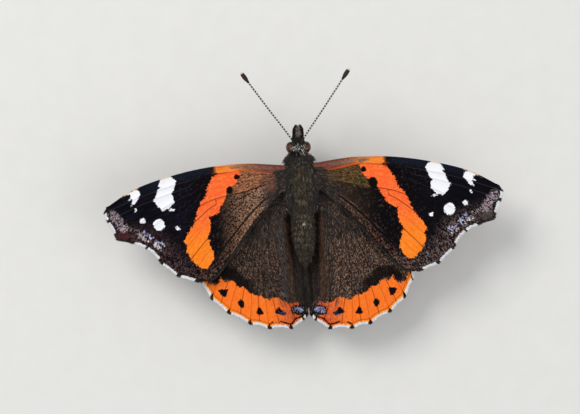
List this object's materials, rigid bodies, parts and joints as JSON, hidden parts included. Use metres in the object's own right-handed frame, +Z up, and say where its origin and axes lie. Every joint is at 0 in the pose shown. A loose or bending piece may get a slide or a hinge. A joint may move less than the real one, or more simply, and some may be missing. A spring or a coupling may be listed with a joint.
{
  "type": "red admiral butterfly, life-size still model",
  "caption": "Life-size still model of a red admiral butterfly with wings spread flat, standing on its walking legs.",
  "frame": {"origin": "on the floor under the middle of the whole butterfly", "axes": "+X to the animal's right across the wingspan, +Y towards its head, +Z up"},
  "size_m": [0.065, 0.0428, 0.0116],
  "materials": {
    "wing": "velvet-matt wing scales, dark brown and black with orange-red bands, white spots and a pale chequered fringe",
    "body": "soft olive-brown and slate-grey hair over dark skin",
    "abdomen": "short dark grey-brown scales in rings",
    "eye": "reddish-brown faceted eye with short hair",
    "palp": "scaled, black outside and pale grey inside",
    "antenna": "black with fine white rings and a pale tip",
    "leg": "short brown scales and fine spines"
  },
  "bodies": {
    "root": {"thorax": "body", "head": "body", "abdomen": "abdomen", "eye_left": "eye", "eye_right": "eye", "palp_left": "palp", "palp_right": "palp", "proboscis": "antenna", "antenna_left": "antenna", "antenna_right": "antenna", "forewing_left": "wing", "forewing_right": "wing", "hindwing_left": "wing", "hindwing_right": "wing", "foreleg_left": "leg", "foreleg_right": "leg", "midleg_left": "leg", "midleg_right": "leg", "hindleg_left": "leg", "hindleg_right": "leg"}
  },
  "joints": []
}
